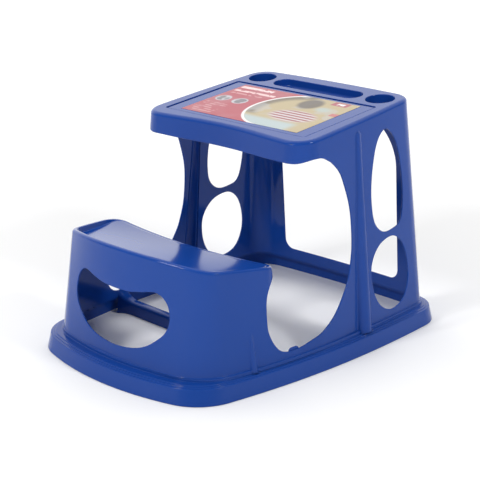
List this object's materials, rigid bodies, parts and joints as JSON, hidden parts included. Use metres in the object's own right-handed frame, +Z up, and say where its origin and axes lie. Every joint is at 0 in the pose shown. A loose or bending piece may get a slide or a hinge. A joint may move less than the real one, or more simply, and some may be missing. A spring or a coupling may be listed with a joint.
{
  "type": "child's study desk with bench seat",
  "caption": "One-piece moulded child's desk with a bench seat, sloping top with writing recess, pen tray and cup pockets, open sides and a skirted base.",
  "frame": {"origin": "on the floor at the centre of the base", "axes": "+X to the right across the desk, +Y from the seat towards the desk, +Z up"},
  "size_m": [0.55, 0.73, 0.4693],
  "materials": {
    "blue_plastic": "glossy moulded polypropylene, coloured through",
    "printed_label": "printed coated paper, satin"
  },
  "bodies": {
    "root": {"floor_rim": "blue_plastic", "base_skirt": "blue_plastic", "base_ledge": "blue_plastic", "seat_front": "blue_plastic", "seat_side_left": "blue_plastic", "seat_side_right": "blue_plastic", "seat_top": "blue_plastic", "seat_sill": "blue_plastic", "seat_column_left": "blue_plastic", "seat_column_right": "blue_plastic", "side_frame_left": "blue_plastic", "side_frame_right": "blue_plastic", "desk_column_left": "blue_plastic", "desk_column_right": "blue_plastic", "rear_frame": "blue_plastic", "desk_apron": "blue_plastic", "desk_top": "blue_plastic", "writing_panel": "blue_plastic", "pen_tray": "blue_plastic", "cup_holder_left": "blue_plastic", "cup_holder_right": "blue_plastic", "label_sheet": "printed_label"}
  },
  "joints": []
}
